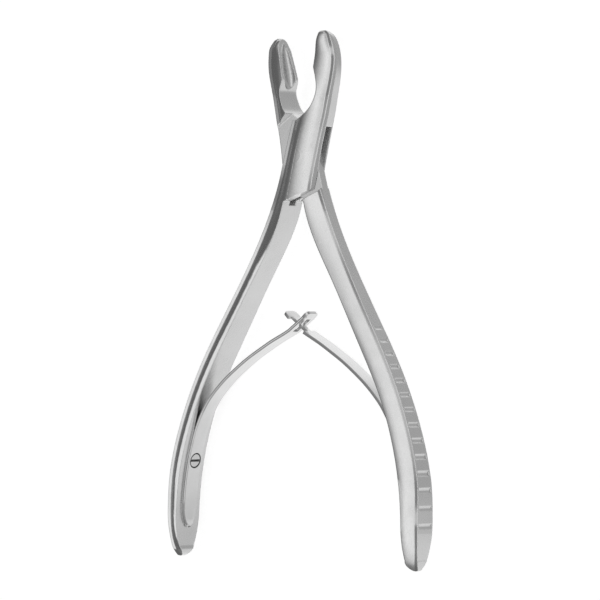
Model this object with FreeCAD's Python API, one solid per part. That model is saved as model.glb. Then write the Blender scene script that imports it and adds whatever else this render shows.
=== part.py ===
import FreeCAD, Part
import math
import os

os.makedirs("parts", exist_ok=True)

V = FreeCAD.Vector

# Bone rongeur, lying flat. X runs across the handles, Y along the instrument
# towards the jaws, Z through its thickness. While it is modelled the hinge
# is at the origin. Lengths are in millimetres, angles in degrees.

# Hinge and box lock
PIN_D = 4.0               # rivet through the box lock
PIN_HELD = 0.02           # radial gap between rivet and female half
PIN_RUNNING = 0.06        # radial gap between rivet and male half
MALE_HALF_T = 1.2         # half thickness of the male tongue in the box
BOX_GAP = 0.15            # gap between the tongue and each wall of the box
RELIEF_TOP = 30.0         # height of the cutters that thin the male half

# Jaws
CUP_R = 2.5               # half width and depth of the cup
CUP_INSET = 0.9           # the cup stops this far short of the rim's tip
TIP_ROUND = 3.6           # length over which a jaw's tip is rounded
TIP_CROWN = 0.25          # seen from above, the tip bulges this much

# The rims' tip and heel as (distance from the hinge, angle off the long axis);
# the throat's sideways shift; the back of the jaw from the box to the tip.
RIGHT_JAW = {
    "tip": (34.8, 9.8),
    "heel": (24.9, 12.7),
    "throat": 0.35,
    "back": [(5.2, -9.3), (6.5, -4.0), (7.45, 1.2), (8.85, 6.9), (9.95, 11.2),
             (11.2, 17.6), (12.1, 22.5), (12.2, 26.5), (11.35, 30.4), (9.7, 33.2),
             (8.1, 34.2)],
}
LEFT_JAW = {
    "tip": (33.1, 14.5),
    "heel": (21.8, 14.2),
    "throat": -0.35,
    "back": [(5.2, -9.3), (6.4, -4.0), (7.2, 1.2), (8.3, 6.9), (9.3, 11.2),
             (10.8, 17.6), (12.2, 22.5), (12.75, 26.5), (12.15, 30.0), (10.7, 32.0),
             (9.6, 32.6)],
}

# Handles
HANDLE_LENGTH = 112.8     # hinge to the lower end of the handles
HANDLE_SPREAD = 45.5      # hinge line to the widest point of a handle
BOX_END = 13.0            # below the hinge by this much the handles begin
END_ROUND = 14.0          # length over which the ends are rounded
REST_HALF = 4.85          # the handles' highest edges are ground flat at this height

# Grip notches
NOTCHES = 14
NOTCH_R = 1.1             # radius of the notch cutter
NOTCH_DEPTH = 0.34
NOTCH_FIRST = 61.5        # along the outer edge, from the box to the first
NOTCH_PITCH = 3.95        # first spacing
NOTCH_GROWTH = 0.075      # each spacing is longer than the last by this
NOTCH_HALF_TOP = 1.55     # half length of the highest notch
NOTCH_HALF_LOW = 2.75     # and of the lowest

# Leaf springs and their screws
SPRING_W = 4.8
SPRING_T = 0.9
SPRING_SEAT = 0.03        # gap between a spring's foot and the handle
SLOT_W = 2.0
SLOT_L = 5.8
TONGUE_W = 1.5
TONGUE_L = 6.6
FOOT_POINT = 6.0          # length of the tapered end of the foot
TIP_CORNER = 1.1          # radius of the corners at the spring's tip
FOOT_END = 100.3          # end of the foot, along the handle from the box
FOOT_TOP = 76.0           # top of the foot, where the spring leaves the handle
CROSS_TO_TIP = 5.8        # from the crossing to the spring's tip
SCREW_ALONG = 81.5        # screw, along the handle from the box
SCREW_HEAD_D = 4.4
SCREW_HEAD_H = 1.25
SCREW_SHANK_D = 2.4
SCREW_L = 4.2
SCREW_FIT = 0.04
DRIVE_W = 0.6
DRIVE_DEPTH = 0.55
DRIVE_TURN = 8.0          # the screw's slot stands this far off level


def mirrored(shape):
    return shape.mirror(V(0, 0, 0), V(1, 0, 0))


def spline(points):
    curve = Part.BSplineCurve()
    curve.interpolate([V(x, y, 0) for x, y in points])
    return curve.toShape()


# The handles are drawn for this length and spread, and follow the sizes above.
DRAWN_LENGTH = 112.8
DRAWN_SPREAD = 45.5
END_Y = -HANDLE_LENGTH


def on_handle(x, y):
    if y > -BOX_END:
        return (x, y)
    down = (-y - BOX_END) / (DRAWN_LENGTH - BOX_END)
    wider = 1 + (HANDLE_SPREAD / DRAWN_SPREAD - 1) * min(1.0, 1.6 * down)
    return (x * wider, -BOX_END - down * (HANDLE_LENGTH - BOX_END))


def handle_curve(points):
    return spline([on_handle(x, y) for x, y in points])


def on_rim(place):
    radius, angle = place
    turn = math.radians(angle)
    return (radius * math.sin(turn), radius * math.cos(turn))


# ---- plan outline of a half: right jaw, box, left handle. The male half is
# drawn the same way round and mirrored when it is done.

def throat_edge(jaw):
    x, y = on_rim(jaw["heel"])
    shift = jaw["throat"]
    return spline([(x, y), (0.45 * x + 3.45 + 0.55 * shift, y - 1.6),
                   (6.5 + shift, 17.8), (5.85 + 0.8 * shift, 15.2),
                   (4.4 + 0.4 * shift, 12.6), (2.1, 10.8), (-2.0, 9.7)])


def corner_edge():
    return spline([(-2.0, 9.7), (-2.7, 9.45), (-3.2, 8.9)])


def outer_edge():
    return handle_curve([(-3.2, 8.9), (-4.4, 4.2), (-5.8, -0.9), (-8.2, -9.4),
                         (-11.5, -18.0), (-20.3, -34.4), (-30.3, -51.0),
                         (-38.8, -67.6), (-42.7, -78.6), (-45.1, -90.0),
                         (-45.5, -100.5), (-44.6, -109.9)])


def inner_edge():
    return handle_curve([(-3.6, -12.8), (-5.2, -18.0), (-14.3, -34.5),
                         (-24.1, -51.0), (-33.1, -67.5), (-37.3, -79.0),
                         (-39.8, -90.0), (-40.7, -100.5), (-40.9, -109.9)])


def half_plan(jaw):
    outer = outer_edge()
    inner = inner_edge()
    back = spline(jaw["back"])
    end = Part.Arc(outer.valueAt(outer.LastParameter),
                   V(*on_handle(-42.8, -DRAWN_LENGTH), 0),
                   inner.valueAt(inner.LastParameter)).toShape()
    lower = Part.makeLine(inner.valueAt(inner.FirstParameter),
                          back.valueAt(back.FirstParameter))
    back_end = back.valueAt(back.LastParameter)
    tip_point = V(*on_rim(jaw["tip"]), 0)
    tip = Part.Arc(back_end, (back_end + tip_point) * 0.5 + V(0, TIP_CROWN, 0),
                   tip_point).toShape()
    rim = Part.makeLine(tip_point, V(*on_rim(jaw["heel"]), 0))
    wire = Part.Wire([throat_edge(jaw), corner_edge(), outer, end, inner, lower, back,
                      tip, rim])
    return Part.Face(wire)


# ---- thickness of the half, as sections from the jaw's tip to the handle's end

# Each station: left point, right point, half height of the left side, left
# ridge, crest, where the crest is from left to right, right ridge, right side.
# Beside the jaw the right point is only a height: it follows the jaw's back.
STATIONS = [
    ((2.6, 28.2), (None, 27.9), 1.4, 2.1, 2.8, 0.45, 1.45, 0.75),
    ((1.6, 24.6), (None, 24.6), 1.6, 2.5, 3.15, 0.45, 1.6, 0.8),
    ((0.8, 21.6), (None, 21.6), 1.6, 2.5, 3.4, 0.46, 1.8, 0.9),
    ((-0.4, 16.6), (None, 16.4), 1.5, 2.5, 3.8, 0.48, 2.0, 1.0),
    ((-2.1, 12.0), (None, 11.8), 1.5, 2.3, 4.1, 0.46, 2.1, 1.1),
    ((-3.7, 6.9), (None, 6.9), 1.4, 2.2, 4.3, 0.45, 2.2, 1.2),
    ((-5.55, 0.0), (None, -0.2), 1.4, 2.2, 4.35, 0.44, 2.3, 1.3),
    ((-7.3, -6.6), (None, -7.4), 1.4, 2.1, 4.3, 0.44, 2.4, 1.3),
    ((-9.2, -12.3), (4.4, -15.4), 1.5, 1.9, 4.2, 0.43, 2.6, 1.3),
    ((-14.1, -23.4), (-4.1, -28.9), 1.7, 1.8, 4.0, 0.52, 3.0, 1.5),
    ((-24.7, -42.0), (-14.9, -47.5), 2.2, 2.25, 4.2, 0.46, 3.2, 1.5),
    ((-35.0, -59.6), (-25.4, -64.7), 2.5, 2.55, 4.4, 0.45, 3.4, 1.5),
    ((-42.7, -78.6), (-32.5, -81.8), 2.75, 2.8, 4.65, 0.46, 3.8, 1.5),
    ((-45.1, -90.0), (-34.6, -91.4), 3.0, 3.05, 4.9, 0.45, 4.0, 1.5),
    ((-45.4, -98.5), (-35.0, -98.2), 3.2, 3.25, 5.0, 0.44, 4.2, 1.5),
]
TIP_HEIGHTS = (1.35, 1.9, 2.6, 0.45, 1.35, 0.7)   # where the tip's rounding starts
END_INSET = 1.8           # the outer side moves in this much at the handle's end
RIDGE_W = 1.1             # width of the flat ridge along each edge
SIDE_LEAN = 1.0           # the bevelled side leans in this much per mm of height
BACK_MARGIN = 0.3         # the sections reach this far past the jaw's back
ROUNDING = (0.45, 0.72, 0.88, 0.97, 1.03)   # sections along each rounded end
LAST_SHARE = 0.12         # the last of them keeps this share of the height


def section(left, right, side_l, ridge_l, crest, crest_at, ridge_r, side_r):
    start = V(left[0], left[1], 0)
    across = V(right[0], right[1], 0) - start
    width = across.Length
    across.normalize()

    def at(t, z):
        return start + across * t + V(0, 0, z)

    lean_l = SIDE_LEAN * 0.6 * (ridge_l - side_l)
    lean_r = SIDE_LEAN * min(1.0, ridge_r - side_r)
    ridge = min(RIDGE_W, width * 0.16)
    inner_l = lean_l + ridge
    inner_r = width - lean_r - ridge
    top = crest_at * width
    span_l = top - inner_l
    span_r = inner_r - top

    def half(s):
        curve = Part.BSplineCurve()
        curve.interpolate(
            Points=[at(inner_l, s * ridge_l),
                    at(inner_l + 0.5 * span_l, s * (ridge_l + 0.62 * (crest - ridge_l))),
                    at(top, s * crest),
                    at(top + 0.5 * span_r, s * (ridge_r + 0.72 * (crest - ridge_r))),
                    at(inner_r, s * ridge_r)],
            Parameters=[0.0, 0.25, 0.5, 0.75, 1.0])
        return [Part.makeLine(at(0, s * side_l), at(lean_l, s * ridge_l)),
                Part.makeLine(at(lean_l, s * ridge_l), at(inner_l, s * ridge_l)),
                curve.toShape(),
                Part.makeLine(at(inner_r, s * ridge_r), at(width - lean_r, s * ridge_r)),
                Part.makeLine(at(width - lean_r, s * ridge_r), at(width, s * side_r))]

    upper = half(1)
    lower = half(-1)
    right_side = Part.makeLine(at(width, side_r), at(width, -side_r))
    left_side = Part.makeLine(at(0, -side_l), at(0, side_l))
    return Part.Wire(upper + [right_side] + lower[::-1] + [left_side])


def across_back(jaw, y):
    # The back's sideways place at this height, straight between its points.
    below, above = jaw["back"][0], jaw["back"][-1]
    for point in jaw["back"]:
        if point[1] <= y:
            below = point
    for point in reversed(jaw["back"]):
        if point[1] > y:
            above = point
    if below is jaw["back"][-1]:
        return below[0]
    part = (y - below[1]) / (above[1] - below[1])
    return below[0] + part * (above[0] - below[0])


def lowered(heights, along):
    # The heights of a section this far along a rounded end, which is a half oval.
    share = math.sqrt(1 - along ** 2) if along < 1 else LAST_SHARE
    side_l, ridge_l, crest, crest_at, ridge_r, side_r = heights
    return (side_l * share, ridge_l * share, crest * share, crest_at, ridge_r * share,
            side_r * share)


def tip_sections(jaw):
    rim_x, rim_y = on_rim(jaw["tip"])
    top = rim_y + TIP_CROWN
    sections = []
    for along in reversed(ROUNDING):
        y = top - TIP_ROUND * (1 - along)
        left = (rim_x - 1.5 - 2.0 * (1 - along), y)
        right = (across_back(jaw, y) + BACK_MARGIN, y)
        sections.append(section(left, right, *lowered(TIP_HEIGHTS, along)))
    return sections


def end_sections():
    left, right, *heights = STATIONS[-1]
    sections = []
    for along in ROUNDING:
        y = -DRAWN_LENGTH + END_ROUND * (1 - along)
        inset = END_INSET * along ** 4
        sections.append(section(on_handle(left[0] + inset, y), on_handle(right[0], y),
                                *lowered(heights, along)))
    return sections


def thickness_form(jaw):
    middle = []
    for left, right, *heights in STATIONS:
        if right[0] is None:
            right = (across_back(jaw, right[1]) + BACK_MARGIN, right[1])
        middle.append(section(on_handle(*left), on_handle(*right), *heights))
    return Part.makeLoft(tip_sections(jaw) + middle + end_sections(), True, False)


def cup_cutter(jaw):
    # A bowl turned about the rim's line, so it is as deep as it is half wide.
    heel = V(*on_rim(jaw["heel"]), 0)
    along = V(*on_rim(jaw["tip"]), 0) - heel
    end = along.Length - CUP_INSET
    profile = [(-4.2, 0.0), (-1.8, 1.8), (1.0, CUP_R), (end - 5.1, 0.8 * CUP_R),
               (end - 1.3, 0.45 * CUP_R), (end, 0.0)]
    curve = Part.BSplineCurve()
    curve.interpolate([V(r, y, 0) for y, r in profile])
    edge = curve.toShape()
    axis = Part.makeLine(edge.valueAt(edge.LastParameter), edge.valueAt(edge.FirstParameter))
    bowl = Part.Face(Part.Wire([edge, axis])).revolve(V(0, 0, 0), V(0, 1, 0), 360)
    lean = math.degrees(math.atan2(along.x, along.y))
    return bowl.rotate(V(0, 0, 0), V(0, 0, 1), -lean).translated(heel)


def grip_notches():
    outer = outer_edge()
    cutters = []
    along = NOTCH_FIRST
    for i in range(NOTCHES):
        u = outer.getParameterByLength(along)
        spot = outer.valueAt(u)
        run = outer.tangentAt(u)
        out = V(run.y, -run.x, 0)
        share = i / (NOTCHES - 1)
        half = NOTCH_HALF_TOP + share * (NOTCH_HALF_LOW - NOTCH_HALF_TOP)
        centre = spot + out * (NOTCH_R - NOTCH_DEPTH)
        cutters.append(Part.makeCylinder(NOTCH_R, 2 * half, centre - V(0, 0, half)))
        along += NOTCH_PITCH + NOTCH_GROWTH * i
    return Part.makeCompound(cutters)


def half_blank(jaw):
    plate = half_plan(jaw).extrude(V(0, 0, 14)).translated(V(0, 0, -7))
    blank = plate.common(thickness_form(jaw))
    blank = blank.common(Part.makeBox(100, 200, 2 * REST_HALF, V(-70, -150, -REST_HALF)))
    blank = blank.cut(cup_cutter(jaw))
    return blank.cut(grip_notches())


# ---- box lock

def plan_prism(points, low, high):
    corners = [V(x, y, low) for x, y in points]
    face = Part.Face(Part.makePolygon(corners + corners[:1]))
    return face.extrude(V(0, 0, high - low))


# The slot in the female half: its upper end slants down to the right and its
# lower end down to the right too, so that the turning male half clears both.
SLOT_PLAN = [(-14.0, 23.1), (14.0, 4.7), (14.0, -30.6), (-2.9, -14.9), (-14.0, -4.1)]

# The male half is thinned between these two shoulder lines.
MALE_PLAN = [(-14.0, 3.7), (-2.0, 12.45), (14.0, 24.0), (14.0, -4.95), (3.2, -12.3),
             (-14.0, -24.0)]


def box_slot():
    half = MALE_HALF_T + BOX_GAP
    return plan_prism(SLOT_PLAN, -half, half)


def male_relief():
    return plan_prism(MALE_PLAN, MALE_HALF_T, RELIEF_TOP).fuse(
        plan_prism(MALE_PLAN, -RELIEF_TOP, -MALE_HALF_T))


def pin_bore(gap):
    return Part.makeCylinder(PIN_D / 2 + gap, 20, V(0, 0, -10))


# ---- leaf springs

def screw_place():
    # Middle of the screw on the inner face of the left handle, and the way in.
    inner = inner_edge()
    u = inner.getParameterByLength(SCREW_ALONG)
    run = inner.tangentAt(u)
    return inner.valueAt(u), V(run.y, -run.x, 0)


def spring_path():
    inner = inner_edge()
    lift = SPRING_SEAT + SPRING_T / 2
    points = []
    for i in range(8):
        u = inner.getParameterByLength(FOOT_END - i * (FOOT_END - FOOT_TOP) / 7)
        run = inner.tangentAt(u)
        spot = inner.valueAt(u) + V(-run.y, run.x, 0) * lift
        points.append((spot.x, spot.y))
    free = [(-34.5, -73.4), (-30.4, -67.4), (-24.6, -61.8), (-15.2, -55.4),
            (-7.6, -51.0), (0.0, -47.0), (3.0, -45.1), (4.2, -43.4)]
    return spline(points + [on_handle(x, y) for x, y in free])


def spring_strip():
    path = spring_path()
    steps = 26
    near = []
    far = []
    for i in range(steps + 1):
        u = path.getParameterByLength(path.Length * i / steps)
        run = path.tangentAt(u)
        side = V(-run.y, run.x, 0) * (SPRING_T / 2)
        near.append(path.valueAt(u) + side)
        far.append(path.valueAt(u) - side)
    one = Part.BSplineCurve()
    one.interpolate(near)
    two = Part.BSplineCurve()
    two.interpolate(far)
    wire = Part.Wire([one.toShape(), Part.makeLine(near[-1], far[-1]), two.toShape(),
                      Part.makeLine(far[0], near[0])])
    strip = Part.Face(wire).extrude(V(0, 0, SPRING_W))
    strip = strip.translated(V(0, 0, -SPRING_W / 2))
    return strip.common(side_outline(far[0].y, near[-1].y))


def side_outline(foot_y, tip_y):
    # From the side the foot narrows to a point and the tip has rounded corners.
    half = SPRING_W / 2
    low = foot_y + FOOT_POINT
    high = tip_y - TIP_CORNER
    mid = half - 0.3 * TIP_CORNER

    def arc(*points):
        return Part.Arc(*[V(0, y, z) for y, z in points]).toShape()

    wire = Part.Wire([
        arc((foot_y, 0), (foot_y + 0.42 * FOOT_POINT, 0.72 * half), (low, half)),
        Part.makeLine(V(0, low, half), V(0, high, half)),
        arc((high, half), (tip_y - 0.3 * TIP_CORNER, mid), (tip_y, half - TIP_CORNER)),
        Part.makeLine(V(0, tip_y, half - TIP_CORNER), V(0, tip_y, TIP_CORNER - half)),
        arc((tip_y, TIP_CORNER - half), (tip_y - 0.3 * TIP_CORNER, -mid), (high, -half)),
        Part.makeLine(V(0, high, -half), V(0, low, -half)),
        arc((low, -half), (foot_y + 0.42 * FOOT_POINT, -0.72 * half), (foot_y, 0))])
    return Part.Face(wire).extrude(V(120, 0, 0)).translated(V(-80, 0, 0))


def crossing_box(length, width, back):
    # A block on the crossing of the springs, lying along the left spring.
    path = spring_path()
    u = path.getParameterByLength(path.Length - CROSS_TO_TIP)
    run = path.tangentAt(u)
    block = Part.makeBox(length, 5, width, V(-back, -2.5, -width / 2))
    turn = math.degrees(math.atan2(run.y, run.x))
    block.rotate(V(0, 0, 0), V(0, 0, 1), turn)
    return block.translated(path.valueAt(u))


def slotted_spring():
    strip = spring_strip()
    slot = crossing_box(SLOT_L, SLOT_W, SLOT_L / 2 - 0.4)
    return strip.cut(slot).cut(screw_form(SCREW_FIT))


def tongue_spring():
    strip = spring_strip()
    block = crossing_box(TONGUE_L, 2 * SPRING_W, TONGUE_L / 2)
    core = crossing_box(TONGUE_L + 2, TONGUE_W, TONGUE_L / 2 + 1)
    return strip.cut(block.cut(core)).cut(screw_form(SCREW_FIT))


# ---- screws

def screw_form(gap):
    # Countersunk head flush with the spring, round shank going into the handle.
    spot, way = screw_place()
    face = spot - way * (SPRING_SEAT + SPRING_T)
    head = Part.makeCone(SCREW_HEAD_D / 2 + gap, SCREW_SHANK_D / 2 + gap, SCREW_HEAD_H,
                         face, way)
    rim = Part.makeCylinder(SCREW_HEAD_D / 2 + gap, 1.0, face, way * -1)
    shank = Part.makeCylinder(SCREW_SHANK_D / 2 + gap, SCREW_L + gap, face, way)
    form = head.fuse(shank)
    return form.fuse(rim) if gap else form


def spring_screw():
    spot, way = screw_place()
    face = spot - way * (SPRING_SEAT + SPRING_T)
    drive = Part.makeBox(10, DRIVE_W, 10, V(-5, -DRIVE_W / 2, -5))
    drive.rotate(V(0, 0, 0), V(1, 0, 0), DRIVE_TURN)
    drive.rotate(V(0, 0, 0), V(0, 0, 1), math.degrees(math.atan2(way.y, way.x)))
    depth = face - way * (5 - DRIVE_DEPTH)
    return screw_form(0).cut(drive.translated(depth))


# ---- the pieces

def female_half():
    half = half_blank(RIGHT_JAW).cut(box_slot()).cut(pin_bore(PIN_HELD))
    return half.cut(screw_form(SCREW_FIT))


def male_half():
    blank = mirrored(half_blank(LEFT_JAW))
    half = blank.cut(male_relief()).cut(pin_bore(PIN_RUNNING))
    return half.cut(mirrored(screw_form(SCREW_FIT)))


def box_lock_pin():
    pin = Part.makeCylinder(PIN_D / 2, 20, V(0, 0, -10))
    return pin.common(thickness_form(RIGHT_JAW))


def main():
    pieces = {
        "female_half": female_half(),
        "male_half": male_half(),
        "box_lock_pin": box_lock_pin(),
        "slotted_spring": slotted_spring(),
        "tongue_spring": mirrored(tongue_spring()),
        "slotted_spring_screw": spring_screw(),
        "tongue_spring_screw": mirrored(spring_screw()),
    }
    halves = Part.makeCompound([pieces["female_half"], pieces["male_half"]])
    box = halves.optimalBoundingBox(False)
    to_frame = V(-box.Center.x, -box.Center.y, -box.ZMin)
    for name, shape in pieces.items():
        solid = shape.Solids[0].translated(to_frame)
        solid.exportStep("parts/" + name + ".step")
        print(name, len(shape.Solids), shape.isValid(), round(shape.Volume, 1))
    print("hinge at", to_frame, "size", box.XLength, box.YLength, box.ZLength)


main()
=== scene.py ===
# %% [markdown]
# # A bone rongeur in Blender
#
# A bone rongeur is a hand instrument that nips away small pieces of bone. Two steel
# halves cross in a box lock: one half has a slot through it, and the other half passes
# through that slot and turns on a rivet. Each half ends in a cupped jaw. Two leaf
# springs between the handles hold the jaws open.
#
# The measured solids are already made, to real size. This file loads them, gives each
# steel surface its finish, forms the springs so that they can bend, and sets up the
# floor, the light and the camera.

# %% Load the measured solids
import bpy
import math
from mathutils import Matrix, Vector


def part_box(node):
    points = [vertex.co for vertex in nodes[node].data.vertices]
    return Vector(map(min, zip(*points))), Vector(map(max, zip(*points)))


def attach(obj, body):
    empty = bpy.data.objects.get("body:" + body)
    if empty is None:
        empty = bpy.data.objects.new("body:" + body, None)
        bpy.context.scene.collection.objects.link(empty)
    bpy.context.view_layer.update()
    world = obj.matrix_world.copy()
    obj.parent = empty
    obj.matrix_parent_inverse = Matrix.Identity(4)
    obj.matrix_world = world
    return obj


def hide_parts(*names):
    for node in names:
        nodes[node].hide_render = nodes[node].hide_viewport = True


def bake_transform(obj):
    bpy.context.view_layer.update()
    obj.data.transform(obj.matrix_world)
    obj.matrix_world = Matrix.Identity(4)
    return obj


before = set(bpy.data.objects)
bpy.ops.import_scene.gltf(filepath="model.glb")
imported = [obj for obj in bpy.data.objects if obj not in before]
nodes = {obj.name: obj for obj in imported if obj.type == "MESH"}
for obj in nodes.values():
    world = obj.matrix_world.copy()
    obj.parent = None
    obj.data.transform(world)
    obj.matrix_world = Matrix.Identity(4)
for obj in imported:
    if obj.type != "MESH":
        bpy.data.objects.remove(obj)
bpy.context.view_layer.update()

# %% [markdown]
# Everything is in metres. The instrument lies flat with its thickness along Z, the
# handles across X and the jaws towards +Y. Sizes are easier to read in millimetres, so
# one short helper turns them into metres.

# %% Millimetres, and a clean selection
def mm(value):
    return value / 1000.0


def select_only(*objects):
    bpy.ops.object.select_all(action="DESELECT")
    for one in objects:
        one.select_set(True)
    if objects:
        bpy.context.view_layer.objects.active = objects[0]


rivet_low, rivet_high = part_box("box_lock_pin")
hinge = (rivet_low + rivet_high) / 2
print("hinge, mm:", [round(c * 1000, 2) for c in hinge])

# %% [markdown]
# Surgical steel is brushed to a fine satin so that it doesn't glare under theatre
# lamps. Close up there are hair-fine scratches that run along the instrument, a faint
# cloudiness from handling, and edges that polishing has left rounder and smoother than
# the faces, with a painted highlight along them as well. Each of those is one small node
# group here, so that every steel in the scene can use it with its own strength.

# %% Helpers for node groups
FLOAT, VECTOR = "NodeSocketFloat", "NodeSocketVector"


def new_group(name, inputs, outputs):
    group = bpy.data.node_groups.new(name, "ShaderNodeTree")
    for label, kind, value in inputs:
        socket = group.interface.new_socket(label, in_out="INPUT", socket_type=kind)
        if value is not None:
            socket.default_value = value
    for label, kind in outputs:
        group.interface.new_socket(label, in_out="OUTPUT", socket_type=kind)
    given = group.nodes.new("NodeGroupInput").outputs
    wanted = group.nodes.new("NodeGroupOutput").inputs
    return group, given, wanted


def add(tree, kind, **settings):
    node = tree.nodes.new(kind)
    for name, value in settings.items():
        setattr(node, name, value)
    return node


def plug(tree, value, socket):
    # A value is either another node's output or a plain number or vector.
    if isinstance(value, bpy.types.NodeSocket):
        tree.links.new(value, socket)
    else:
        socket.default_value = value


def math_node(tree, operation, *values, clamp=False):
    node = add(tree, "ShaderNodeMath", operation=operation, use_clamp=clamp)
    for value, socket in zip(values, node.inputs):
        plug(tree, value, socket)
    return node.outputs["Value"]


def vector_node(tree, operation, *values):
    node = add(tree, "ShaderNodeVectorMath", operation=operation)
    for value, socket in zip(values, node.inputs):
        plug(tree, value, socket)
    gives_number = operation in ("LENGTH", "DOT_PRODUCT")
    return node.outputs["Value" if gives_number else "Vector"]


def split(tree, vector):
    node = add(tree, "ShaderNodeSeparateXYZ")
    tree.links.new(vector, node.inputs["Vector"])
    return node.outputs


def noise(tree, vector, scale, detail):
    node = add(tree, "ShaderNodeTexNoise")
    for label, value in (("Vector", vector), ("Scale", scale), ("Detail", detail)):
        plug(tree, value, node.inputs[label])
    return node.outputs["Fac"]


print("node helpers ready")

# %% [markdown]
# The satin grain is noise that is squeezed across the brushing and stretched along it.
# The handles sweep outwards, so the grain of each half follows its own line: the point
# is turned about Z before the noise is looked up.

# %% Satin grain
satin_grain, given, wanted = new_group(
    "satin_grain",
    [("Vector", VECTOR, None), ("Turn", FLOAT, 0.0), ("Across", FLOAT, 9000.0),
     ("Along", FLOAT, 350.0)],
    [("Grain", FLOAT), ("Cloud", FLOAT)])
turned = add(satin_grain, "ShaderNodeVectorRotate", rotation_type="Z_AXIS")
plug(satin_grain, given["Vector"], turned.inputs["Vector"])
plug(satin_grain, given["Turn"], turned.inputs["Angle"])
squeeze = add(satin_grain, "ShaderNodeCombineXYZ")
plug(satin_grain, given["Across"], squeeze.inputs["X"])
plug(satin_grain, given["Along"], squeeze.inputs["Y"])
plug(satin_grain, given["Across"], squeeze.inputs["Z"])
scratches = vector_node(satin_grain, "MULTIPLY", turned.outputs["Vector"],
                        squeeze.outputs["Vector"])
plug(satin_grain, noise(satin_grain, scratches, 1.0, 3.0), wanted["Grain"])
plug(satin_grain, noise(satin_grain, given["Vector"], 160.0, 4.0), wanted["Cloud"])
print("satin grain nodes:", len(satin_grain.nodes))

# %% [markdown]
# A ground edge is never a knife edge. The Bevel node bends the shading over a small
# radius, as if each edge were rounded, and how far it bends there is also a good mask
# for a smoother polish and for a painted highlight, a brighter colour along every edge.
# The one edge without it is the seam round the rivet: that is hammered tight and ground
# flush, so it can't be seen.

# %% Polished edges, and the mask for a painted highlight
RIVET_SEAT = mm(3.4)           # the plain patch round the rivet
EDGE_CONTRAST = 6.0            # how soon a bent normal counts as an edge

edge_polish_and_highlight, given, wanted = new_group(
    "edge_polish_and_highlight",
    [("Vector", VECTOR, None), ("Radius", FLOAT, 0.0002),
     ("Land Lean", FLOAT, 0.28), ("Land Limit", FLOAT, 0.9996),
     ("Handle Lean", FLOAT, 0.28), ("Handle Limit", FLOAT, 0.9996)],
    [("Edge", FLOAT), ("Normal", VECTOR)])
from_rivet = vector_node(edge_polish_and_highlight, "SUBTRACT", given["Vector"], hinge)
from_rivet = vector_node(edge_polish_and_highlight, "MULTIPLY", from_rivet, (1.0, 1.0, 0.0))
off_rivet = math_node(edge_polish_and_highlight, "GREATER_THAN",
                      vector_node(edge_polish_and_highlight, "LENGTH", from_rivet), RIVET_SEAT)
bend = add(edge_polish_and_highlight, "ShaderNodeBevel", samples=6)
plug(edge_polish_and_highlight, math_node(edge_polish_and_highlight, "MULTIPLY", off_rivet, given["Radius"]),
     bend.inputs["Radius"])
true_normal = add(edge_polish_and_highlight, "ShaderNodeNewGeometry").outputs["Normal"]
unbent = vector_node(edge_polish_and_highlight, "DOT_PRODUCT", bend.outputs["Normal"], true_normal)
bent = math_node(edge_polish_and_highlight, "SUBTRACT", 1.0, unbent)
plug(edge_polish_and_highlight, math_node(edge_polish_and_highlight, "MULTIPLY", bent, EDGE_CONTRAST, clamp=True),
     wanted["Edge"])
print("edge nodes:", len(edge_polish_and_highlight.nodes))

# %% [markdown]
# The narrow lands that are left along the top aren't truly level either. The belt rolls
# over them, so they fall away a little to one side and catch the light as thin lines. A
# land is found by its normal, which points almost straight up, and is then given one
# lean. How level it has to be, and how far it leans, is set for the box and jaws and
# again for the handles, with a gradual change from one to the other.

# %% Lands
HANDLE_FROM = mm(24.0)         # the change from box to handle begins here, going down
HANDLE_FADE = mm(16.0)         # and takes this long
LEVEL = 0.99995                # a normal's height that counts as fully level
LAND_FADE = 0.045              # the widest step in height from no land to full land

along = split(edge_polish_and_highlight, given["Vector"])["Y"]
on_handle = math_node(edge_polish_and_highlight, "DIVIDE",
                      math_node(edge_polish_and_highlight, "SUBTRACT", HANDLE_FROM, along),
                      HANDLE_FADE, clamp=True)


def box_to_handle(box_value, handle_value):
    change = math_node(edge_polish_and_highlight, "SUBTRACT", given[handle_value], given[box_value])
    return math_node(edge_polish_and_highlight, "MULTIPLY_ADD", change, on_handle, given[box_value])


facing = split(edge_polish_and_highlight, true_normal)
limit = box_to_handle("Land Limit", "Handle Limit")
step = math_node(edge_polish_and_highlight, "MINIMUM",
                 math_node(edge_polish_and_highlight, "SUBTRACT", LEVEL, limit), LAND_FADE)
land = math_node(edge_polish_and_highlight, "DIVIDE",
                 math_node(edge_polish_and_highlight, "SUBTRACT", facing["Z"], limit), step, clamp=True)
lean = math_node(edge_polish_and_highlight, "SUBTRACT", box_to_handle("Land Lean", "Handle Lean"),
                 facing["X"])
fall = add(edge_polish_and_highlight, "ShaderNodeCombineXYZ")
plug(edge_polish_and_highlight, math_node(edge_polish_and_highlight, "MULTIPLY", land, lean), fall.inputs["X"])
leaning = vector_node(edge_polish_and_highlight, "ADD", bend.outputs["Normal"], fall.outputs["Vector"])
plug(edge_polish_and_highlight, vector_node(edge_polish_and_highlight, "NORMALIZE", leaning), wanted["Normal"])
print("edge and land nodes:", len(edge_polish_and_highlight.nodes))

# %% [markdown]
# One function makes every steel of the instrument. The satin halves, the springs, the
# rivet and the screws differ in tone, in how smooth they are, in the direction of their
# grain and in how their edges and lands were finished.

# %% Make a steel
EDGE_HIGHLIGHT_PAINT, EDGE_SMOOTHER = 0.28, 0.10     # painted highlight in the colour, and the smoother polish, at an edge
DARK_IS_ROUGHER = 1.2                         # dark specks of the grain are rougher
GRAIN_BUMP, GRAIN_DEPTH = 0.05, mm(0.02)


def either_side_of_zero(tree, value, strength):
    return math_node(tree, "MULTIPLY_ADD", value, strength, -strength / 2)


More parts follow.
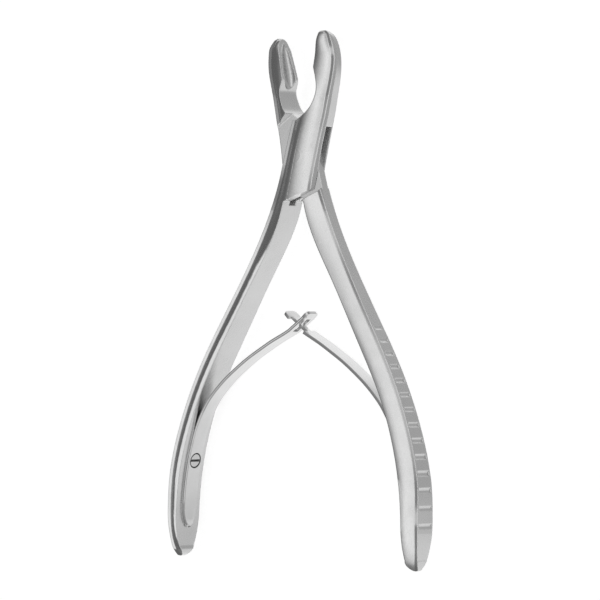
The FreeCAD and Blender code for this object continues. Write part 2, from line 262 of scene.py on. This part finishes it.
def steel(name, tone, roughness, turn=0.0, grain=0.14, cloud=0.08, edge=0.0004,
          lean=0.28, handle=None):
    # handle is (lean, limit) where the handle's lands differ from those of the box.
    material = bpy.data.materials.new(name)
    material.use_nodes = True
    tree = material.node_tree
    shader = tree.nodes["Principled BSDF"].inputs
    shader["Metallic"].default_value = 1.0
    spot = add(tree, "ShaderNodeTexCoord").outputs["Object"]
    brushed = add(tree, "ShaderNodeGroup", node_tree=satin_grain)
    plug(tree, spot, brushed.inputs["Vector"])
    brushed.inputs["Turn"].default_value = math.radians(turn)
    rim = add(tree, "ShaderNodeGroup", node_tree=edge_polish_and_highlight)
    plug(tree, spot, rim.inputs["Vector"])
    rim.inputs["Radius"].default_value = edge
    rim.inputs["Land Lean"].default_value = lean
    rim.inputs["Handle Lean"].default_value = handle[0] if handle else lean
    if handle:
        rim.inputs["Handle Limit"].default_value = handle[1]
    specks = math_node(tree, "ADD",
                       either_side_of_zero(tree, brushed.outputs["Grain"], grain),
                       either_side_of_zero(tree, brushed.outputs["Cloud"], cloud))
    # The edge mask lifts the colour here: a painted highlight along every edge, beside the
    # real smoother polish.
    shade = math_node(tree, "MULTIPLY_ADD", rim.outputs["Edge"], EDGE_HIGHLIGHT_PAINT,
                      math_node(tree, "ADD", specks, tone), clamp=True)
    colour = add(tree, "ShaderNodeCombineColor")
    for channel in ("Red", "Green", "Blue"):
        plug(tree, shade, colour.inputs[channel])
    plug(tree, colour.outputs["Color"], shader["Base Color"])
    rough = math_node(tree, "MULTIPLY_ADD", specks, -DARK_IS_ROUGHER, roughness)
    rough = math_node(tree, "MULTIPLY_ADD", rim.outputs["Edge"], -EDGE_SMOOTHER, rough,
                      clamp=True)
    plug(tree, rough, shader["Roughness"])
    relief = add(tree, "ShaderNodeBump")
    for label, value in (("Strength", GRAIN_BUMP), ("Distance", GRAIN_DEPTH),
                         ("Height", brushed.outputs["Grain"]),
                         ("Normal", rim.outputs["Normal"])):
        plug(tree, value, relief.inputs[label])
    plug(tree, relief.outputs["Normal"], shader["Normal"])
    print("made", name)
    return material


# %% [markdown]
# The grain of each half is turned to follow the sweep of its handle. Only the box half
# shows the inner crown of its handle to the camera, so it alone has wider lands there.
# The slotted spring's thin side was polished bright, and the tongue spring's left dark.

# %% Give the halves and the rivet their steel
def finish_with(piece, material):
    piece.data.materials.clear()
    piece.data.materials.append(material)


satin_left = steel("satin_steel_left_sweep", 0.72, 0.26, turn=-25.0, handle=(0.56, 0.885))
satin_right = steel("satin_steel_right_sweep", 0.72, 0.26, turn=25.0)
rivet_steel = steel("rivet_steel", 0.72, 0.26, turn=-25.0)
slotted_steel = steel("spring_steel_bright_side", 0.75, 0.22, grain=0.10, edge=0.0, lean=0.46)
tongue_steel = steel("spring_steel_dark_side", 0.77, 0.22, grain=0.10, edge=0.0, lean=-0.06)
screw_steel = steel("screw_steel", 0.66, 0.22, edge=0.00012)
# Near-black steel that paints shade into the screw cones and the screw slots.
painted_shade_steel = steel("painted_shade_steel", 0.16, 0.45, edge=0.0)
finish_with(nodes["female_half"], satin_left)
finish_with(nodes["male_half"], satin_right)
finish_with(nodes["box_lock_pin"], rivet_steel)

# %% [markdown]
# A leaf spring starts life as a flat blank punched from spring steel strip, with its
# slot or its tongue already in it. It is then bent to shape, hardened and screwed to
# the handle. The same steps work here: the blank is made flat, along X, because every
# cut in it is then straight. Bending comes last, with a Curve modifier.
#
# The sizes repeat those of the solids: the strip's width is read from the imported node.

# %% Sizes of the springs
spring_low, spring_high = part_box("slotted_spring")
SPRING_W = spring_high.z - spring_low.z
SPRING_T = mm(0.9)
SPRING_L = mm(81.57)
SCREW_AT = mm(18.8)            # from the foot's point to the screw
FOOT_TAPER = mm(6.0)
SLOT_FROM, SLOT_TO, SLOT_W = mm(73.3), mm(79.1), mm(2.0)
TONGUE_FROM, TONGUE_TO, TONGUE_W = mm(72.5), mm(79.1), mm(1.5)
TIP_CORNER = mm(1.1)
SINK_R, THROAT_R, SINK_DEEP = mm(2.24), mm(1.24), mm(1.3)    # the countersink
EDGE_ROUND = mm(0.22)
print("spring width, mm:", round(SPRING_W * 1000, 2))


def at_hinge(x, y, z=0.0):
    return Vector((hinge.x + mm(x), hinge.y + mm(y), hinge.z + mm(z)))


# %% [markdown]
# The blank begins as one flat face. Bisect draws the lines that the outline needs:
# one across at every station, and one along each side of the slot or tongue. Faces
# between those lines are then deleted. This leaves clean rows of four-sided faces, which
# is what a strip needs in order to bend smoothly.

# %% Cut and clear a flat face
def cut_across(x):
    bpy.ops.mesh.select_all(action="SELECT")
    bpy.ops.mesh.bisect(plane_co=(x, 0, 0), plane_no=(1, 0, 0))


def cut_along(z):
    bpy.ops.mesh.select_all(action="SELECT")
    bpy.ops.mesh.bisect(plane_co=(0, 0, z), plane_no=(0, 0, 1))


def delete_between(blank, x_from, x_to, inside):
    bpy.ops.object.mode_set(mode="OBJECT")
    for face in blank.data.polygons:
        middle = face.center
        face.select = x_from < middle.x < x_to and inside(abs(middle.z))
    bpy.ops.object.mode_set(mode="EDIT")
    bpy.ops.mesh.select_mode(type="FACE")
    bpy.ops.mesh.delete(type="FACE")


print("cutters for the blank ready")

# %% [markdown]
# The outline then gets its curves. Every row keeps its share of the full width: all of
# it along the strip, less towards the oval foot, and less in the rounded corners of the
# tip. The rows beside the slot or tongue only give way where they would stick out.

# %% Punch the flat blank
FOOT_STATIONS = (0.03, 0.1, 0.2, 0.35, 0.5, 0.65, 0.8, 1.0)
TIP_STATIONS = (1.0, 0.7, 0.4, 0.15)
STATION_STEP, STATION_COUNT = mm(1.4), 47
OVAL = 1.7                     # 2 would be a true ellipse


def outline_share(x):
    if x < FOOT_TAPER:
        return math.sqrt(max(0.0, 1 - (1 - x / FOOT_TAPER) ** OVAL))
    past = x - (SPRING_L - TIP_CORNER)
    if past > 0:
        corner = TIP_CORNER - math.sqrt(max(0.0, TIP_CORNER ** 2 - past ** 2))
        return 1 - corner / (SPRING_W / 2)
    return 1.0


def flat_blank(name, window_from, window_to, window_width, keep_inside):
    select_only()
    bpy.ops.mesh.primitive_plane_add(size=1.0, location=(SPRING_L / 2, 0, 0),
                                     rotation=(math.radians(90), 0, 0))
    blank = bpy.context.active_object
    blank.name = name
    blank.scale = (SPRING_L, SPRING_W, 1.0)
    bpy.ops.object.transform_apply(location=True, rotation=True, scale=True)
    bpy.ops.object.mode_set(mode="EDIT")
    stations = [FOOT_TAPER * share for share in FOOT_STATIONS]
    stations += [FOOT_TAPER + (i + 1) * STATION_STEP for i in range(STATION_COUNT)]
    stations += [window_from, window_to]
    stations += [SPRING_L - TIP_CORNER * share for share in TIP_STATIONS]
    for x in stations:
        cut_across(x)
    for z in (-window_width / 2, window_width / 2):
        cut_along(z)
    delete_between(blank, window_from, window_to,
                   lambda off: (off > window_width / 2) == keep_inside)
    bpy.ops.mesh.select_all(action="SELECT")
    bpy.ops.mesh.remove_doubles(threshold=mm(0.01))
    bpy.ops.object.mode_set(mode="OBJECT")
    for vertex in blank.data.vertices:
        if abs(vertex.co.z) > window_width / 2 + mm(0.05):
            vertex.co.z *= outline_share(vertex.co.x)
        else:
            limit = SPRING_W / 2 * outline_share(vertex.co.x)
            vertex.co.z = max(-limit, min(limit, vertex.co.z))
    print(name, "faces in the flat:", len(blank.data.polygons))
    return blank


slotted_blank = flat_blank("slotted_leaf_spring", SLOT_FROM, SLOT_TO, SLOT_W, False)
tongue_blank = flat_blank("tongue_leaf_spring", TONGUE_FROM, TONGUE_TO, TONGUE_W, True)

# %% [markdown]
# Next the flat outline gets its thickness, the countersunk hole for its screw and a
# small round on every edge. Solidify grows the thickness, a Boolean takes out the hole
# with a cone for a cutter, and Bevel breaks the edges. They are applied in that order,
# because the round has to run round the hole too. The cone's faces are noted here and
# later get painted shade: a near-black colour for the shade that falls in the hollow.

# %% Thicken, drill and break the edges
def apply_modifier(obj, kind, **settings):
    select_only(obj)
    modifier = obj.modifiers.new(kind.lower(), kind)
    for name, value in settings.items():
        setattr(modifier, name, value)
    bpy.ops.object.modifier_apply(modifier=modifier.name)


def countersink():
    # Wide end towards -Y, which is the side of the blank that faces the other handle.
    # The cone starts a tenth of its depth above the steel, so that no two faces coincide.
    select_only()
    bpy.ops.mesh.primitive_cone_add(vertices=40, radius1=SINK_R + 0.1 * (SINK_R - THROAT_R),
                                    radius2=THROAT_R, depth=1.1 * SINK_DEEP,
                                    location=(SCREW_AT, 0.45 * SINK_DEEP - SPRING_T / 2, 0),
                                    rotation=(math.radians(-90), 0, 0))
    cutter = bpy.context.active_object
    bpy.ops.object.transform_apply(location=True, rotation=True, scale=True)
    return cutter


def finish_blank(blank):
    select_only(blank)
    bpy.ops.object.mode_set(mode="EDIT")
    bpy.ops.mesh.select_all(action="SELECT")
    bpy.ops.mesh.normals_make_consistent(inside=False)
    bpy.ops.object.mode_set(mode="OBJECT")
    apply_modifier(blank, "SOLIDIFY", thickness=SPRING_T, offset=0.0)
    cutter = countersink()
    apply_modifier(blank, "BOOLEAN", operation="DIFFERENCE", object=cutter, solver="EXACT")
    bpy.data.objects.remove(cutter)
    apply_modifier(blank, "BEVEL", width=EDGE_ROUND, segments=4, limit_method="ANGLE",
                   angle_limit=math.radians(50))
    # The cone's own faces: near the screw, and below both surfaces of the strip.
    return [face.index for face in blank.data.polygons
            if math.hypot(face.center.x - SCREW_AT, face.center.z) < SINK_R - mm(0.04)
            and abs(face.center.y) < SPRING_T / 2 - mm(0.03)]


cone_faces = {}
for blank in (slotted_blank, tongue_blank):
    cone_faces[blank.name] = finish_blank(blank)
    print(blank.name, "faces:", len(blank.data.polygons), "in the cone:",
          len(cone_faces[blank.name]))

# %% [markdown]
# Now the bending. The curve runs along the middle of the strip, from the foot on the
# handle up to the tip beyond the crossing. The tongue's spring is the mirror image of
# the slotted one, so both are bent on the same curve and one is turned over at the end.
# A mirror turns a mesh inside out, so its normals are made right again.

# %% Bend the springs
# Millimetres from the hinge, down the left side
MIDDLE_LINE = [(-40.34, -104.41), (-40.13, -98.58), (-39.68, -92.78), (-38.80, -87.02),
               (-37.47, -81.35), (-35.63, -75.82), (-32.89, -70.69), (-29.27, -66.13),
               (-20.35, -58.67), (-10.42, -52.58), (-0.15, -47.08), (4.2, -43.4)]


def bending_curve():
    line = bpy.data.curves.new("spring_line", "CURVE")
    line.dimensions = "2D"
    line.resolution_u = 24
    spline = line.splines.new("BEZIER")
    spline.bezier_points.add(len(MIDDLE_LINE) - 1)
    for point, (x, y) in zip(spline.bezier_points, MIDDLE_LINE):
        point.co = (mm(x), mm(y), 0)
        point.handle_left_type = point.handle_right_type = "AUTO"
    holder = bpy.data.objects.new("spring_line", line)
    bpy.context.scene.collection.objects.link(holder)
    return holder


def bend_spring(blank, mirrored):
    line = bending_curve()
    apply_modifier(blank, "CURVE", object=line, deform_axis="POS_X")
    bpy.data.objects.remove(line)
    if mirrored:
        bpy.ops.transform.resize(value=(-1, 1, 1), center_override=(0, 0, 0))
    bpy.ops.transform.translate(value=at_hinge(0, 0))
    bpy.ops.object.transform_apply(location=True, rotation=True, scale=True)
    bpy.ops.object.mode_set(mode="EDIT")
    bpy.ops.mesh.select_all(action="SELECT")
    bpy.ops.mesh.normals_make_consistent(inside=False)
    bpy.ops.object.mode_set(mode="OBJECT")
    bpy.ops.object.shade_smooth_by_angle(angle=math.radians(35))
    print(blank.name, "reaches, mm:", [round(side * 1000, 1) for side in blank.dimensions])


bend_spring(slotted_blank, False)
bend_spring(tongue_blank, True)

# %% [markdown]
# Each spring stands for its rigid solid, which is hidden. It gets its steel and the
# painted shade in its screw's cone, and its place is baked into its mesh.


# Painted shade: the given faces, in a cone or a slot, take the near-black steel.
def paint_recess_shade(piece, faces):
    piece.data.materials.append(painted_shade_steel)
    for index in faces:
        piece.data.polygons[index].material_index = 1


def hang_spring(spring, material, node, handle, leaf):
    finish_with(spring, material)
    paint_recess_shade(spring, cone_faces[spring.name])
    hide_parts(node)
    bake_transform(spring)
    print(spring.name, "bends from", handle, "to", leaf)


hang_spring(slotted_blank, slotted_steel, "slotted_spring", "female", "slotted_leaf")
hang_spring(tongue_blank, tongue_steel, "tongue_spring", "male", "tongue_leaf")

# %% [markdown]
# A small countersunk screw holds each spring's foot. Its head sits in the cone of the
# foot with a hair of clearance, and the cone's faces carry painted shade, so a dark ring
# shows. Its slot was left lying across the strip, and the slot's faces carry painted
# shade too. It starts as a cone, the shank is extruded from its narrow end, and a
# Boolean cuts the slot.

# %% Screws
HEAD_R, SHANK_R = mm(1.86), mm(1.0)
HEAD_DEEP, SHANK_DEEP = mm(1.0), mm(1.8)
DRIVER_SLOT_W, DRIVER_SLOT_DEEP = mm(0.62), mm(0.70)
SCREW_ROUND = mm(0.05)
SCREW_SPOT = (-38.18, -85.81)      # where the head's face lies, mm from the hinge
SCREW_LEAN = math.radians(-13.2)


def spring_screw(name):
    select_only()
    bpy.ops.mesh.primitive_cone_add(vertices=48, radius1=SHANK_R, radius2=HEAD_R,
                                    depth=HEAD_DEEP, location=(0, 0, -HEAD_DEEP / 2))
    screw = bpy.context.active_object
    screw.name = name
    bpy.ops.object.transform_apply(location=True, rotation=True, scale=True)
    for face in screw.data.polygons:
        face.select = face.normal.z < -0.9
    bpy.ops.object.mode_set(mode="EDIT")
    bpy.ops.mesh.select_mode(type="FACE")
    bpy.ops.mesh.extrude_region_move(TRANSFORM_OT_translate={"value": (0, 0, -SHANK_DEEP)})
    bpy.ops.object.mode_set(mode="OBJECT")
    bpy.ops.mesh.primitive_cube_add(size=1.0, location=(0, 0, 0))
    cutter = bpy.context.active_object
    cutter.scale = (HEAD_R * 3, DRIVER_SLOT_W, DRIVER_SLOT_DEEP * 2)
    bpy.ops.object.transform_apply(location=True, rotation=True, scale=True)
    apply_modifier(screw, "BOOLEAN", operation="DIFFERENCE", object=cutter, solver="EXACT")
    bpy.data.objects.remove(cutter)
    apply_modifier(screw, "BEVEL", width=SCREW_ROUND, segments=2, limit_method="ANGLE",
                   angle_limit=math.radians(40))
    # The faces inside the driver slot, which get painted shade.
    in_slot = [face.index for face in screw.data.polygons
               if abs(face.center.y) < DRIVER_SLOT_W / 2 + mm(0.01)
               and -DRIVER_SLOT_DEEP - SCREW_ROUND < face.center.z < -mm(0.06)]
    return screw, in_slot


def seat_screw(screw, side, in_slot):
    # The head turns to face the other handle: +Z becomes +X, then it leans with the foot.
    turned = Matrix.Rotation(SCREW_LEAN, 4, "Z") @ Matrix.Rotation(math.radians(90), 4, "Y")
    screw.data.transform(turned)
    screw.data.transform(Matrix.Translation((mm(SCREW_SPOT[0]), mm(SCREW_SPOT[1]), 0)))
    if side > 0:
        screw.data.transform(Matrix.Scale(-1, 4, (1, 0, 0)))
        screw.data.flip_normals()
    screw.data.transform(Matrix.Translation(hinge))
    select_only(screw)
    bpy.ops.object.shade_smooth_by_angle(angle=math.radians(30))
    finish_with(screw, screw_steel)
    paint_recess_shade(screw, in_slot)


for name, side, body in (("slotted_spring_screw", -1, "female"),
                         ("tongue_spring_screw", 1, "male")):
    screw, in_slot = spring_screw(name + "_turned")
    seat_screw(screw, side, in_slot)
    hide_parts(name)
    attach(screw, body)
    print(screw.name, "faces:", len(screw.data.polygons))

# %% [markdown]
# The floor is a plain white sheet. It takes the soft shadow of the instrument from two
# lamps, and glows a little for the camera so that it comes out white, as in a catalogue.
# The steel doesn't mirror the sheet itself. What the steel sees comes from the next step.

# %% Floor
FLOOR_SIZE, FLOOR_GLOW = 6.0, 0.71

select_only()
bpy.ops.mesh.primitive_plane_add(size=FLOOR_SIZE, location=(0, 0, 0))
floor = bpy.context.active_object
floor.name = "floor_sheet"
floor.visible_glossy = False
paper = bpy.data.materials.new("white_paper")
paper.use_nodes = True
tree = paper.node_tree
matt = tree.nodes["Principled BSDF"]
matt.inputs["Base Color"].default_value = (0.9, 0.9, 0.9, 1.0)
matt.inputs["Roughness"].default_value = 0.9
matt.inputs["Specular IOR Level"].default_value = 0.0
matt.inputs["Emission Color"].default_value = (1.0, 1.0, 1.0, 1.0)
path = add(tree, "ShaderNodeLightPath")
plug(tree, math_node(tree, "MULTIPLY", path.outputs["Is Camera Ray"], FLOOR_GLOW),
     matt.inputs["Emission Strength"])
floor.data.materials.append(paper)
print("floor, m:", [round(side, 1) for side in floor.dimensions])

# %% [markdown]
# Polished steel has hardly a colour of its own: it shows what stands around it. A
# photographer shoots it in a light tent, with black card on one side, which draws the
# deep bands that give the handles and the box their form. That tent is drawn here once,
# in the world, as brightness by direction. The ramp runs right round the instrument's
# long axis: straight down, the far left, overhead, the far right and down again. It is
# brightest a little right of overhead, dark at the far left, and pale below, where the
# white sheet lies.

# %% World: the light tent
# Degrees from overhead, towards the right, and the brightness there
TENT = [(-180, 0.96), (-150, 1.00), (-128, 1.00), (-114, 0.60), (-102, 0.14), (-62, 0.15),
        (-46, 0.24), (-34, 0.30), (-18, 0.46), (-8, 0.68), (2, 0.84), (12, 1.02),
        (20, 1.14), (28, 0.90), (38, 0.50), (52, 0.42), (74, 0.38), (92, 0.46),
        (108, 0.76), (150, 0.82), (180, 0.96)]
BRIGHTEST = 1.2                # the ramp itself holds no more than 1

world = bpy.data.worlds.new("light_tent")
bpy.context.scene.world = world
world.use_nodes = True
tent = world.node_tree
back = tent.nodes["Background"].inputs
back["Color"].default_value = (1.0, 1.0, 1.0, 1.0)
direction = add(tent, "ShaderNodeTexCoord").outputs["Generated"]
parts = split(tent, direction)
swing = math_node(tent, "ARCTAN2", parts["X"], parts["Z"])
ramp = add(tent, "ShaderNodeValToRGB")
plug(tent, math_node(tent, "MULTIPLY_ADD", swing, 0.5 / math.pi, 0.5), ramp.inputs["Fac"])
stops = ramp.color_ramp.elements
while len(stops) < len(TENT):
    stops.new(0.5)
for stop, (angle, level) in zip(stops, TENT):
    stop.position = angle / 360.0 + 0.5
    stop.color = (level / BRIGHTEST,) * 3 + (1.0,)
print("tent stops:", len(stops))

# %% [markdown]
# One more thing stands round the instrument: below on the right, it is dimmer towards
# the jaws than towards the handles. Three soft steps, one for each axis, say where.

# %% World: the dim corner
JAW_SIDE_DIMMING = 0.42


def soft_step(value, nothing, full):
    node = add(tent, "ShaderNodeMapRange")
    for label, setting in (("Value", value), ("From Min", nothing), ("From Max", full)):
        plug(tent, setting, node.inputs[label])
    return node.outputs["Result"]


corner = math_node(tent, "MULTIPLY", soft_step(parts["Z"], 0.05, -0.15),
                   soft_step(parts["Y"], -0.17, 0.03))
corner = math_node(tent, "MULTIPLY", corner, soft_step(parts["X"], -0.15, 0.20))
kept = math_node(tent, "MULTIPLY_ADD", corner, -JAW_SIDE_DIMMING, 1.0)
seen = math_node(tent, "MULTIPLY",
                 math_node(tent, "MULTIPLY", ramp.outputs["Color"], BRIGHTEST), kept)
print("tent nodes:", len(tent.nodes))

# %% [markdown]
# The tent is for reflections only. The camera sees plain white past the edge of the
# sheet, and the sheet itself is lit by a low, even level and the two lamps.

# %% World: who sees the tent
SHEET_LIGHT = 0.22

path = add(tent, "ShaderNodeLightPath")
in_steel = math_node(tent, "MAXIMUM", path.outputs["Is Glossy Ray"],
                     path.outputs["Is Transmission Ray"])
plain = math_node(tent, "MULTIPLY_ADD", path.outputs["Is Camera Ray"], 1.0 - SHEET_LIGHT,
                  SHEET_LIGHT)
gain = math_node(tent, "MULTIPLY", in_steel, math_node(tent, "SUBTRACT", seen, plain))
plug(tent, math_node(tent, "ADD", plain, gain), back["Strength"])
print("level on the sheet:", SHEET_LIGHT)

# %% [markdown]
# Two large soft lamps give the sheet its even light and the instrument its faint shadow.
# The steel doesn't mirror them, because the tent already stands for all that it sees.

# %% Lamps
def soft_lamp(name, place, size, brightness):
    # At brightness 1 the lamp looks as bright as a white sheet in full light.
    lamp = bpy.data.lights.new(name, "AREA")
    lamp.shape = "RECTANGLE"
    lamp.size, lamp.size_y = size
    lamp.energy = brightness * math.pi * size[0] * size[1]
    holder = bpy.data.objects.new(name, lamp)
    bpy.context.scene.collection.objects.link(holder)
    holder.location = place
    holder.rotation_euler = (-Vector(place)).to_track_quat("-Z", "Y").to_euler()
    holder.visible_glossy = False
    print(name, "power, W:", round(lamp.energy, 2))


soft_lamp("overhead_softbox", (-0.25, 0.1, 1.1), (1.0, 1.4), 0.45)
soft_lamp("right_softbox", (0.9, -0.3, 0.7), (0.5, 1.2), 0.30)

# %% [markdown]
# The photograph was taken from about 40 degrees to the right of straight above, from
# far away, with the jaws towards the top of the picture. The camera repeats that.

# %% Camera
VIEW_TURN, VIEW_RISE, VIEW_ROLL = 40.445, 0.315, 0.968       # degrees
VIEW_DISTANCE, PIXELS_PER_MM = 1355.5, 3.617
MIDDLE_X, MIDDLE_Y, PICTURE = 300.93, 297.07, 600.0          # pixels
SENSOR = 36.0

turn, rise, roll = (math.radians(a) for a in (VIEW_TURN, VIEW_RISE, VIEW_ROLL))
right = Vector((math.cos(turn), 0, -math.sin(turn)))
up = Vector((-math.sin(turn) * math.sin(rise), math.cos(rise),
             -math.cos(turn) * math.sin(rise)))
towards = Vector((math.sin(turn) * math.cos(rise), math.sin(rise),
                  math.cos(turn) * math.cos(rise)))
picture_right = right * math.cos(roll) + up * math.sin(roll)
picture_up = up * math.cos(roll) - right * math.sin(roll)
lens = bpy.data.cameras.new("photo_camera")
lens.sensor_width = SENSOR
lens.lens = PIXELS_PER_MM * VIEW_DISTANCE / PICTURE * SENSOR
lens.shift_x = -(MIDDLE_X - PICTURE / 2) / PICTURE
lens.shift_y = (MIDDLE_Y - PICTURE / 2) / PICTURE
lens.clip_end = 20.0
camera = bpy.data.objects.new("photo_camera", lens)
bpy.context.scene.collection.objects.link(camera)
aim = Matrix((picture_right, picture_up, towards)).transposed().to_4x4()
centre = Vector((0.0, 0.0, mm(5.0)))
camera.matrix_world = Matrix.Translation(centre + towards * mm(VIEW_DISTANCE)) @ aim
bpy.context.scene.camera = camera
bpy.context.scene.view_settings.view_transform = "Standard"
print("lens, mm:", round(lens.lens, 1))
